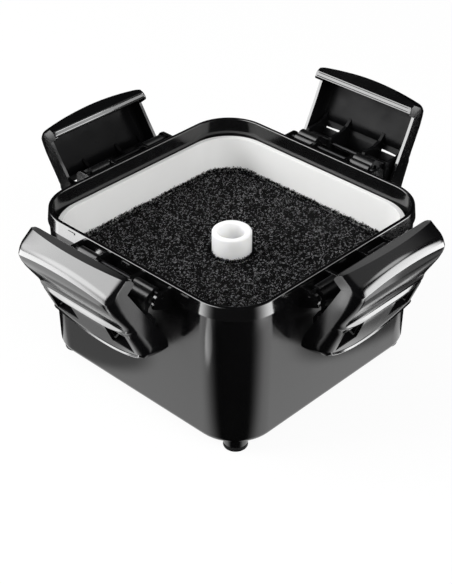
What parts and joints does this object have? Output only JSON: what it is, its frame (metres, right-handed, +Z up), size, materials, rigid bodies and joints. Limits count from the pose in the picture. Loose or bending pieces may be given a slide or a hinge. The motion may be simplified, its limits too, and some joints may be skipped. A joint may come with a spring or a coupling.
{
  "type": "canister filter",
  "caption": "Open lower module of a square canister filter: tub with over-centre latches, media basket, centre tube and foam pads.",
  "frame": {"origin": "on the ground under the middle of the tub, where the centre tube's axis meets the plane of the feet", "axes": "+Z up along the centre tube; -Y is the front side, +X the right side; each side carries one latch"},
  "size_m": [0.2591, 0.2675, 0.1371],
  "materials": {
    "tub_plastic": "moulded, glossy",
    "latch_plastic": "moulded, high gloss",
    "pin_steel": "drawn rod",
    "pad_rubber": "matt",
    "basket_plastic": "satin",
    "tube_plastic": "smooth",
    "coarse_foam": "open-cell reticulated foam",
    "media_foam": "open-cell foam"
  },
  "bodies": {
    "container": {"container_shell": "tub_plastic", "lug_pins": "pin_steel", "foot_front_left": "pad_rubber", "foot_front_right": "pad_rubber", "foot_back_left": "pad_rubber", "foot_back_right": "pad_rubber"},
    "front_link": {"front_latch_links": "latch_plastic"},
    "front_lever": {"front_latch_lever": "latch_plastic", "front_latch_pin": "pin_steel"},
    "right_link": {"right_latch_links": "latch_plastic"},
    "right_lever": {"right_latch_lever": "latch_plastic", "right_latch_pin": "pin_steel"},
    "back_link": {"back_latch_links": "latch_plastic"},
    "back_lever": {"back_latch_lever": "latch_plastic", "back_latch_pin": "pin_steel"},
    "left_link": {"left_latch_links": "latch_plastic"},
    "left_lever": {"left_latch_lever": "latch_plastic", "left_latch_pin": "pin_steel"},
    "basket": {"basket": "basket_plastic", "centre_tube": "tube_plastic", "lower_foam": "media_foam"},
    "top_foam": {"top_foam": "coarse_foam"}
  },
  "joints": [
    {"name": "front_link_swing", "type": "hinge", "parent": "container", "child": "front_link", "pos_m": [0, -0.0916, 0.0986], "axis": [1, 0, 0], "range_deg": [0, 30]},
    {"name": "front_lever_swing", "type": "hinge", "parent": "front_link", "child": "front_lever", "pos_m": [0, -0.0993, 0.08526], "axis": [1, 0, 0], "range_deg": [-64.9, 0]},
    {"name": "right_link_swing", "type": "hinge", "parent": "container", "child": "right_link", "pos_m": [0.0916, 0, 0.0986], "axis": [0, 1, 0], "range_deg": [0, 21]},
    {"name": "right_lever_swing", "type": "hinge", "parent": "right_link", "child": "right_lever", "pos_m": [0.09712, 0, 0.08422], "axis": [0, 1, 0], "range_deg": [-53, 0]},
    {"name": "back_link_swing", "type": "hinge", "parent": "container", "child": "back_link", "pos_m": [0, 0.0916, 0.0986], "axis": [-1, 0, 0], "range_deg": [0, 76]},
    {"name": "back_lever_swing", "type": "hinge", "parent": "back_link", "child": "back_lever", "pos_m": [0, 0.10654, 0.09487], "axis": [-1, 0, 0], "range_deg": [-103.9, 0]},
    {"name": "left_link_swing", "type": "hinge", "parent": "container", "child": "left_link", "pos_m": [-0.0916, 0, 0.0986], "axis": [0, -1, 0], "range_deg": [0, 22]},
    {"name": "left_lever_swing", "type": "hinge", "parent": "left_link", "child": "left_lever", "pos_m": [-0.09737, 0, 0.08432], "axis": [0, -1, 0], "range_deg": [-58.1, 0]},
    {"name": "basket_lift", "type": "slide", "parent": "container", "child": "basket", "axis": [0, 0, 1], "range_m": [0, 0.11]},
    {"name": "top_foam_lift", "type": "slide", "parent": "basket", "child": "top_foam", "axis": [0, 0, 1], "range_m": [0, 0.06]}
  ],
  "couplings": [
    {"joint": "front_lever_swing", "follows": "front_link_swing", "ratio": -2.1467},
    {"joint": "right_lever_swing", "follows": "right_link_swing", "ratio": -2.5},
    {"joint": "back_lever_swing", "follows": "back_link_swing", "ratio": -1.3605},
    {"joint": "left_lever_swing", "follows": "left_link_swing", "ratio": -2.6182}
  ]
}
